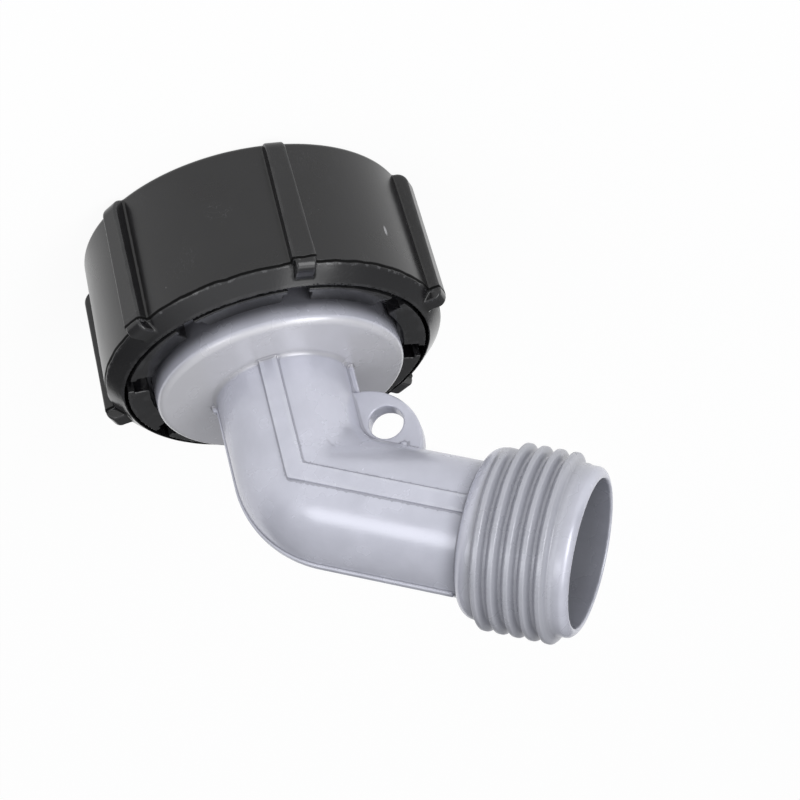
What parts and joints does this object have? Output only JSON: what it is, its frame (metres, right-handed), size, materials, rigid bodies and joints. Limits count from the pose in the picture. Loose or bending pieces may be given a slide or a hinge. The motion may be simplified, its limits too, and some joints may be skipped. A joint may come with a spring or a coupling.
{
  "type": "deck fill hose elbow",
  "caption": "Bent hose outlet on a ribbed swivel nut: the nut screws onto a threaded deck fill, and a hose screws onto the angled male thread.",
  "frame": {"origin": "centre of the nut's open mouth, on the plane that the mouth stands on", "axes": "+Z along the nut's axis from the mouth to the hub and riser, +X towards the side that the outlet leans to, Y across the plane of the bend"},
  "size_m": [0.0677, 0.0498, 0.075],
  "materials": {
    "nut_plastic": "satin moulded black, darker and glossier on the rear rim",
    "elbow_plastic": "satin moulded silver grey with a slight pearl sheen, duller on the thread",
    "washer_rubber": "matt black rubber"
  },
  "bodies": {
    "nut": {"swivel_nut": "nut_plastic"},
    "elbow": {"elbow_body": "elbow_plastic", "sealing_washer": "washer_rubber"}
  },
  "joints": [
    {"name": "elbow_swivel", "type": "hinge", "parent": "nut", "child": "elbow", "pos_m": [0, 0, 0.02], "axis": [0, 0, 1], "continuous": true}
  ]
}
